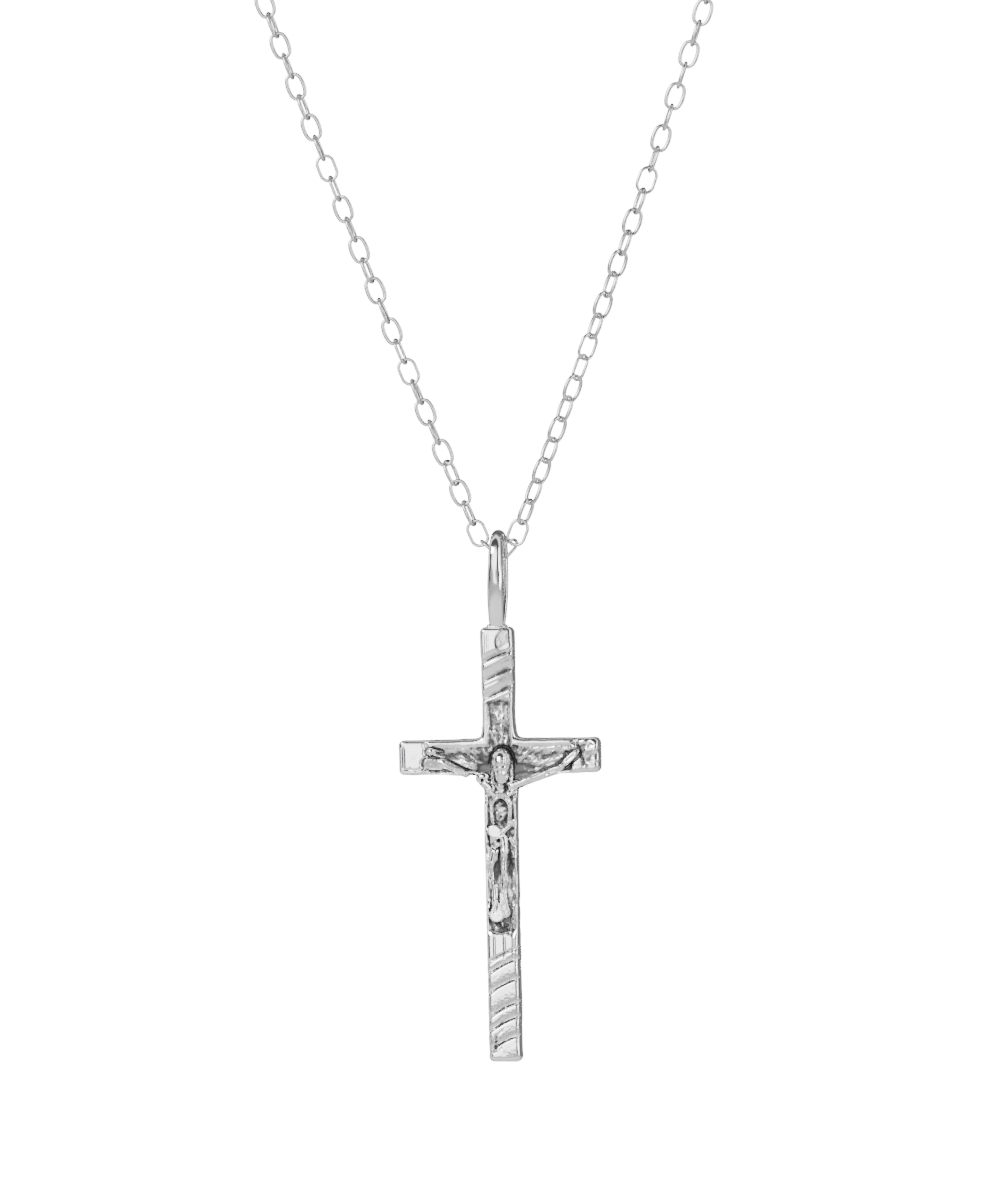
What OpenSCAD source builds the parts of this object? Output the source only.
// Crucifix pendant with a teardrop bail on a fine oval link chain, both ends in their clasp fittings.
// Millimetres. +Z up, the front faces -Y. The origin is midway between the two chain end fittings.

/* [Cross] */
// Height of the cross from foot to top
cross_height = 30.0; // [20:0.1:45]
// Length of the crossbar
bar_length = 14.0; // [9:0.1:22]
// Height of the crossbar
bar_height = 2.41; // [1.6:0.01:4]
// Width of the post
post_width = 2.26; // [1.6:0.01:4]
// Thickness of the cross, front to back
cross_thick = 1.6; // [1:0.05:3]
// Depth of the cast ground below the bright facets
ground_depth = 0.42; // [0.1:0.01:0.7]
// Distance from the crossbar's centre line to the top of the post
top_rise = 8.93; // [6:0.01:14]

/* [Bail] */
// Width of the bail strip at its top
bail_width = 1.0; // [0.6:0.05:2]
// Width of the bail strip at its foot
bail_foot_width = 0.86; // [0.5:0.02:2]
// Outer radius of the bail's bend
bail_outer_r = 1.75; // [1.2:0.05:3]
// Inner radius of the bail's bend
bail_inner_r = 1.05; // [0.7:0.05:2]
// Sideways lean of the bail on the cross, in degrees
bail_lean = 2.0; // [0:0.5:5]

/* [Chain] */
// Outside length of one link
link_length = 2.02; // [1.4:0.02:4]
// Outside width of one link
link_width = 1.40; // [1:0.02:3]
// Wire diameter of the links
link_wire = 0.24; // [0.15:0.01:0.5]
// Play at each contact between two links
link_play = 0.02; // [0.01:0.01:0.1]
// Tangent of the chain's angle from vertical beside the bail
lean_start = 0.42; // [0.2:0.01:0.8]
// How fast the chain steepens with each link
lean_fall = 0.0078; // [0:0.0002:0.02]

/* [End fittings] */
// Outside diameter of the spring ring clasp
clasp_d = 5.5; // [4:0.1:9]
// Tube diameter of the clasp's ring
clasp_tube = 1.0; // [0.8:0.05:1.6]
// Outside diameter of the jump rings
jump_d = 2.6; // [2:0.1:5]
// Wire diameter of the jump rings
jump_wire = 0.36; // [0.25:0.01:0.8]
// Radius of the hole in the end tab
tab_hole_r = 0.8; // [0.5:0.05:1.5]
// Thickness of the end tab
tab_thick = 0.4; // [0.25:0.05:0.8]

/* [Part to draw] */
// Sub-part to draw, or all of them

/* [Hidden] */
run_count = 28;
a_len = (link_length - link_wire) / 2;
b_len = (link_width - link_wire) / 2;
pitch = 2 * a_len - link_wire - link_play;
gate_x = 1.10;
gate_w = 14.70;
seat_w = 13.75;
crown_w = 13.91;
foot_w = top_rise - 0.02;
cross_x = -(seat_w - top_rise) * sin(bail_lean);
half_t = cross_thick / 2;
ground_y = -half_t + ground_depth;

function lean(i) = atan(lean_start / (1 + lean_fall * i));
function run_x(j) = j == 0 ? gate_x : run_x(j - 1) + pitch * sin(lean(j - 1));
function run_w(j) = j == 0 ? gate_w : run_w(j - 1) + pitch * cos(lean(j - 1));

end_x = run_x(run_count);
end_w = run_w(run_count);
end_lean = lean(run_count);
jump_r = (jump_d - jump_wire) / 2;
ring_c = jump_r - jump_wire / 2 - 0.01;
ring_step = ring_c + jump_r - jump_wire / 2 - 0.01;
hook_x = end_x + ring_step * sin(end_lean);
hook_w = end_w + ring_step * cos(end_lean);
tab_low = 0.50;
tab_long = 2.9;
tab_w = hook_w + tab_low - 0.035;
hold_w = tab_w + tab_long;

silver = [0.86, 0.86, 0.87];
wire_silver = [0.80, 0.80, 0.81];

// ---- shared shapes ----

// Moves a shape drawn with the crossbar's centre at height zero into the common frame.
module on_pendant() translate([cross_x, 0, -hold_w]) children();

// Lifts a flat outline in X and Z into a slab between two depths.
module slab(y0, y1) translate([0, y1, 0]) rotate([90, 0, 0]) linear_extrude(y1 - y0) children();

module soft_box(w, h, r) {
    translate([-w / 2 + r, -h / 2]) square([w - 2 * r, h]);
    translate([-w / 2, -h / 2 + r]) square([w, h - 2 * r]);
    for (sx = [-1, 1], sz = [-1, 1])
        translate([sx * (w / 2 - r), sz * (h / 2 - r)]) circle(r, $fn = 32);
}

// Half of a link's end, bent from wire in the XZ plane.
module link_end(cz, from)
    translate([0, 0, cz]) rotate([90, 0, 0]) rotate([0, 0, from])
        rotate_extrude(angle = 180, $fn = 64) translate([b_len, 0])
            circle(link_wire / 2, $fn = 20);

// One long link, long axis Z, flat in the XZ plane.
module oval_link() {
    link_end(a_len - b_len, 0);
    link_end(b_len - a_len, 180);
    for (sx = [-1, 1]) translate([sx * b_len, 0, b_len - a_len])
        cylinder(h = 2 * (a_len - b_len), r = link_wire / 2, $fn = 20);
}

module run_link(i, side, twist)
    translate([side * (run_x(i - 1) + run_x(i)) / 2, 0, (run_w(i - 1) + run_w(i)) / 2 - hold_w])
        rotate([0, side * lean(i - 1), 0]) rotate([0, 0, twist]) oval_link();

// The left link and the right link at one height. Each is a solid of its own.
module link_pair(i, left_twist, right_twist) color(wire_silver) {
    run_link(i, -1, left_twist);
    run_link(i, 1, right_twist);
}

// ---- pendant ----

module cross_outline() {
    translate([0, top_rise - cross_height / 2]) soft_box(post_width, cross_height, 0.3);
    soft_box(bar_length, bar_height, 0.32);
    for (sx = [-1, 1], sz = [-1, 1]) inner_corner(sx, sz, sz > 0 ? 0.6 : 1.3);
}

// Quarter fillet in one of the four inner corners.
module inner_corner(sx, sz, r)
    translate([sx * post_width / 2, sz * bar_height / 2]) difference() {
        translate([min(0, sx * r), min(0, sz * r)]) square([r, r]);
        translate([sx * r, sz * r]) circle(r, $fn = 40);
    }

// Curved facet cut across the post. Its arc starts high on the right and falls steeply to the left.
module facet_cut(left_w, rise, depth)
    translate([2.6, -half_t, left_w - 2.35 + rise])
        rotate([90, 0, 0]) rotate_extrude($fn = 96)
            polygon([[3.35 + depth * 1.1, -depth], [3.35 - depth * 2.6, 0.2],
                [3.35 + depth * 1.9, 0.2]]);

// Ground pocket behind the figure's body and arms. It runs out under the shoulders.
module ground_outline() {
    polygon([[-5.12, 0.80], [-5.12, -0.05], [-4.35, -0.42], [-2.95, -1.15], [-2.95, -3.0],
        [-1.3, -3.0], [-1.3, -5.9], [-0.86, -6.0], [-0.86, -12.0], [0.86, -12.0], [0.86, -7.1],
        [1.3, -7.0], [1.3, -3.0], [2.95, -3.0], [2.95, -1.35], [4.55, -0.72], [5.75, -0.15],
        [5.75, 0.80]]);
    translate([-0.86, 0]) square([1.72, 3.5]);
}

module cross() color(silver) on_pendant() difference() {
    slab(-half_t, half_t) cross_outline();
    slab(-half_t - 1, ground_y) ground_outline();
    for (k = [0:4]) facet_cut(-14.9 - 1.32 * k, 0.75, 0.22);
    for (k = [0:2]) facet_cut(6.1 - 1.32 * k, 0.75, 0.20);
}

// Figure parts. Rounded volumes joined pairwise, cut flat where they lie on the ground of the cross.
module knob(p, r) translate(p) sphere(r, $fn = 20);
module limb(p, rp, q, rq) hull() { knob(p, rp); knob(q, rq); }

module figure_volumes() {
    // head with hair, leaning forward and down
    hull() { knob([0.07, -1.02, -0.15], 0.56); knob([0.07, -1.16, -1.0], 0.46); }
    hull() { knob([0.05, -0.85, 0.25], 0.48); knob([0.10, -0.80, -0.6], 0.64); }
    limb([-0.45, -0.75, -0.4], 0.30, [-0.50, -0.70, -1.5], 0.26);
    limb([0.60, -0.75, -0.4], 0.30, [0.62, -0.70, -1.5], 0.26);
    // neck and chest
    limb([0.05, -0.72, -1.1], 0.42, [0.0, -0.60, -2.0], 0.50);
    limb([-0.70, -0.50, -1.75], 0.44, [0.72, -0.50, -1.8], 0.44);
    limb([-0.38, -0.62, -2.2], 0.50, [0.42, -0.62, -2.2], 0.50);
    limb([0.0, -0.55, -2.5], 0.55, [0.0, -0.45, -4.2], 0.52);
    // arms along the bar
    limb([-0.95, -0.52, -1.75], 0.40, [-2.35, -0.55, -1.05], 0.33);
    limb([-2.35, -0.55, -1.05], 0.33, [-4.2, -0.55, -0.05], 0.27);
    limb([-4.2, -0.55, -0.05], 0.27, [-4.75, -0.55, 0.35], 0.30);
    limb([0.95, -0.52, -1.8], 0.40, [2.4, -0.55, -1.15], 0.33);
    limb([2.4, -0.55, -1.15], 0.33, [4.4, -0.55, -0.35], 0.27);
    limb([4.4, -0.55, -0.35], 0.27, [5.35, -0.55, 0.15], 0.30);
    // waist cloth with its knot and hanging end
    hull() { knob([-0.62, -0.62, -4.7], 0.46); knob([0.48, -0.62, -4.6], 0.46);
        knob([-0.50, -0.66, -5.55], 0.48); knob([0.38, -0.66, -5.35], 0.46); }
    limb([0.70, -0.60, -5.2], 0.30, [0.86, -0.55, -6.7], 0.20);
    // legs, bent forward at the knees
    limb([-0.36, -0.62, -5.5], 0.42, [-0.42, -0.86, -6.3], 0.40);
    limb([0.34, -0.62, -5.5], 0.42, [0.34, -0.82, -6.5], 0.40);
    limb([-0.42, -0.86, -6.3], 0.38, [-0.40, -0.60, -8.9], 0.27);
    limb([0.34, -0.82, -6.5], 0.38, [0.20, -0.60, -8.9], 0.27);
    // crossed feet on the foot block
    limb([-0.36, -0.62, -8.9], 0.28, [-0.22, -0.80, -11.05], 0.30);
    limb([0.20, -0.62, -8.9], 0.28, [-0.02, -0.72, -10.6], 0.30);
    limb([-0.25, -0.60, -11.55], 0.34, [0.22, -0.60, -11.55], 0.34);
}

module corpus() color(silver) on_pendant() intersection() {
    figure_volumes();
    translate([-7, -3, -12.0]) cube([14, 3 + ground_y, 15]);
}

// Bail: two straight strands and a bend, thicker at the crown than at the sides.
module bail_side() {
    difference() {
        union() {
            translate([0, crown_w]) circle(bail_outer_r, $fn = 96);
            polygon([[-bail_outer_r * cos(8), crown_w - bail_outer_r * sin(8)],
                [-0.62, foot_w - 0.0], [0.62, foot_w - 0.0],
                [bail_outer_r * cos(8), crown_w - bail_outer_r * sin(8)]]);
        }
        translate([0, seat_w]) circle(bail_inner_r, $fn = 96);
        polygon([[-bail_inner_r * cos(8), seat_w - bail_inner_r * sin(8)],
            [-0.10, foot_w + 1.35], [0.10, foot_w + 1.35],
            [bail_inner_r * cos(8), seat_w - bail_inner_r * sin(8)]]);
    }
}

// Front view of the bail: a strip that narrows towards the foot.
module bail_front()
    polygon([[-bail_foot_width / 2, foot_w - 1], [bail_foot_width / 2, foot_w - 1],
        [bail_width / 2, crown_w - 1.5], [bail_width / 2, crown_w + 3],
        [-bail_width / 2, crown_w + 3], [-bail_width / 2, crown_w - 1.5]]);

module bail() color(silver) on_pendant() {
    difference() {
        union() {
            translate([0, 0, top_rise]) rotate([0, bail_lean, 0]) translate([0, 0, -top_rise])
                intersection() {
                    translate([-3, 0, 0]) rotate([90, 0, 90]) linear_extrude(6) bail_side();
                    slab(-3, 3) bail_front();
                }
            // solder at both sides of the foot
            for (sx = [-1, 1]) translate([sx * 0.42, -0.05, top_rise]) sphere(0.24, $fn = 28);
        }
        translate([-3, -3, top_rise - 3]) cube([6, 6, 3]);
    }
}

// ---- chain ----

// The two links that the bail's bend sits across, one leaning each way.
module link_centre_a() color(wire_silver) translate([-0.449, -0.119, 14.286 - hold_w])
    rotate([-4.8, 0, 0]) rotate([0, -49.2, 0]) rotate([0, 0, 87.4]) oval_link();

module link_centre_b() color(wire_silver) translate([0.59, 0.102, 14.221 - hold_w])
    rotate([2.7, 0, 0]) rotate([0, 43.4, 0]) rotate([0, 0, 59.3]) oval_link();

module links_01() link_pair(1, 0, 0);
module links_02() link_pair(2, 80, 62);
module links_03() link_pair(3, 4, -42);
module links_04() link_pair(4, 66, 46);
module links_05() link_pair(5, 0, -40);
module links_06() link_pair(6, 88, 44);
module links_07() link_pair(7, 6, -44);
module links_08() link_pair(8, 84, 40);
module links_09() link_pair(9, 2, -46);
module links_10() link_pair(10, 82, 42);
module links_11() link_pair(11, -4, -50);
module links_12() link_pair(12, 90, 36);
module links_13() link_pair(13, 8, -52);
module links_14() link_pair(14, 78, 34);
module links_15() link_pair(15, 0, -58);
module links_16() link_pair(16, 86, 28);
module links_17() link_pair(17, -6, -62);
module links_18() link_pair(18, 84, 20);
module links_19() link_pair(19, 4, -70);
module links_20() link_pair(20, 90, 14);
module links_21() link_pair(21, 0, -78);
module links_22() link_pair(22, 80, 8);
module links_23() link_pair(23, -2, -84);
module links_24() link_pair(24, 88, 2);
module links_25() link_pair(25, 6, -90);
module links_26() link_pair(26, 82, -4);
module links_27() link_pair(27, 0, 84);
module links_28() link_pair(28, 90, 0);

// ---- end fittings ----

// Plain ring between the last link and its fitting, turned square to the link.
module jump_ring(side, twist)
    translate([side * (end_x + ring_c * sin(end_lean)), 0,
        end_w + ring_c * cos(end_lean) - hold_w])
        rotate([0, side * end_lean, 0]) rotate([90, 0, twist])
            rotate_extrude($fn = 96) translate([jump_r, 0]) circle(jump_wire / 2, $fn = 24);

module jump_ring_left() color(silver) jump_ring(-1, 0);
module jump_ring_right() color(silver) jump_ring(1, 90);

clasp_r = (clasp_d - clasp_tube) / 2;
eye_r = 0.72;
eye_wire = 0.44;
eye_c = [-hook_x, 0, hook_w - hold_w + eye_r - eye_wire / 2 - 0.01];
clasp_c = [-hook_x, 0, eye_c[2] + eye_r + eye_wire / 2 + clasp_r + clasp_tube / 2 - 0.25];
gap_from = 20;
gap_span = 62;
slot_span = 52;

// Hollow ring of the clasp, open at the gap, with a slot for the thumb lever beside it.
module clasp_body() color(silver) translate(clasp_c) difference() {
    rotate([90, 0, 0]) rotate([0, 0, gap_from + gap_span])
        rotate_extrude(angle = 360 - gap_span, $fn = 96) translate([clasp_r, 0])
            circle(clasp_tube / 2, $fn = 36);
    rotate([90, 0, 0]) rotate([0, 0, gap_from + gap_span - 1])
        rotate_extrude(angle = 117, $fn = 96) translate([clasp_r, 0])
            circle(clasp_tube / 2 - 0.17, $fn = 36);
    rotate([90, 0, 0]) rotate([0, 0, gap_from - 38])
        rotate_extrude(angle = 39, $fn = 96) translate([clasp_r, 0])
            circle(clasp_tube / 2 - 0.17, $fn = 36);
    rotate([90, 0, 0]) rotate([0, 0, gap_from + gap_span + 8])
        rotate_extrude(angle = slot_span + 16, $fn = 96)
            translate([clasp_r, -0.18]) square([2, 0.36]);
}

// Curved pin that shuts the gap, with the thumb lever standing out through the slot.
module clasp_trigger() color(silver) translate(clasp_c) {
    rotate([90, 0, 0]) rotate([0, 0, gap_from - 6])
        rotate_extrude(angle = gap_span + 26, $fn = 96) translate([clasp_r, 0])
            circle(0.29, $fn = 28);
    rotate([0, -(gap_from + gap_span + 14), 0]) translate([clasp_r + 0.1, 0, 0])
        rotate([0, 90, 0]) cylinder(h = 1.05, r = 0.14, $fn = 24);
    rotate([0, -(gap_from + gap_span + 14), 0]) translate([clasp_r + 1.15, 0, 0])
        sphere(0.26, $fn = 28);
}

// Fine coil inside the ring behind the pin. It shortens as the pin is drawn back.
module clasp_spring() {
    from = gap_from + gap_span + 22;
    span = 92;
    turns = 22;
    steps = turns * 10;
    rw = 0.035;
    rc = 0.24;
    function at(s) = let (p = from + span * s / steps, q = 360 * turns * s / steps,
        r = clasp_r + rc * cos(q)) [r * cos(p), rc * sin(q), r * sin(p)];
    pts = [for (s = [0:steps]) let (p = from + span * s / steps, q = 360 * turns * s / steps,
        c = at(s), u = [cos(p) * cos(q), sin(q), sin(p) * cos(q)], v = [-sin(p), 0, cos(p)])
        each [for (k = [0:5]) c + rw * (u * cos(60 * k) + v * sin(60 * k))]];
    faces = concat([[for (k = [0:5]) k]],
        [for (s = [0:steps - 1], k = [0:5]) [6 * s + k, 6 * s + 6 + k, 6 * s + 6 + (k + 1) % 6,
            6 * s + (k + 1) % 6]],
        [[for (k = [5:-1:0]) 6 * steps + k]]);
    color(wire_silver) translate(clasp_c) polyhedron(pts, faces, convexity = 10);
}

// Small ring brazed under the clasp. The left jump ring hangs in it.
module clasp_eyelet() color(silver) difference() {
    translate(eye_c) rotate([90, 0, 90]) rotate_extrude($fn = 64) translate([eye_r, 0])
        circle(eye_wire / 2, $fn = 24);
    translate(clasp_c) rotate([90, 0, 0]) rotate_extrude($fn = 96) translate([clasp_r, 0])
        circle(clasp_tube / 2, $fn = 36);
}

// Flat tab that the clasp closes into, hanging the right jump ring from its small lower hole.
module end_tab() color(silver)
    translate([hook_x, 0, tab_w - hold_w])
        slab(-tab_thick / 2, tab_thick / 2) difference() {
            union() {
                circle(tab_low + 0.45, $fn = 64);
                translate([0, tab_long]) circle(tab_hole_r + 0.6, $fn = 64);
                translate([-0.72, 0]) square([1.44, tab_long]);
            }
            circle(tab_low, $fn = 48);
            translate([0, tab_long]) circle(tab_hole_r, $fn = 64);
        }

cross();
corpus();
bail();
link_centre_a();
link_centre_b();
links_01();
links_02();
links_03();
links_04();
links_05();
links_06();
links_07();
links_08();
links_09();
links_10();
links_11();
links_12();
links_13();
links_14();
links_15();
links_16();
links_17();
links_18();
links_19();
links_20();
links_21();
links_22();
links_23();
links_24();
links_25();
links_26();
links_27();
links_28();
jump_ring_left();
jump_ring_right();
clasp_body();
clasp_trigger();
clasp_spring();
clasp_eyelet();
end_tab();
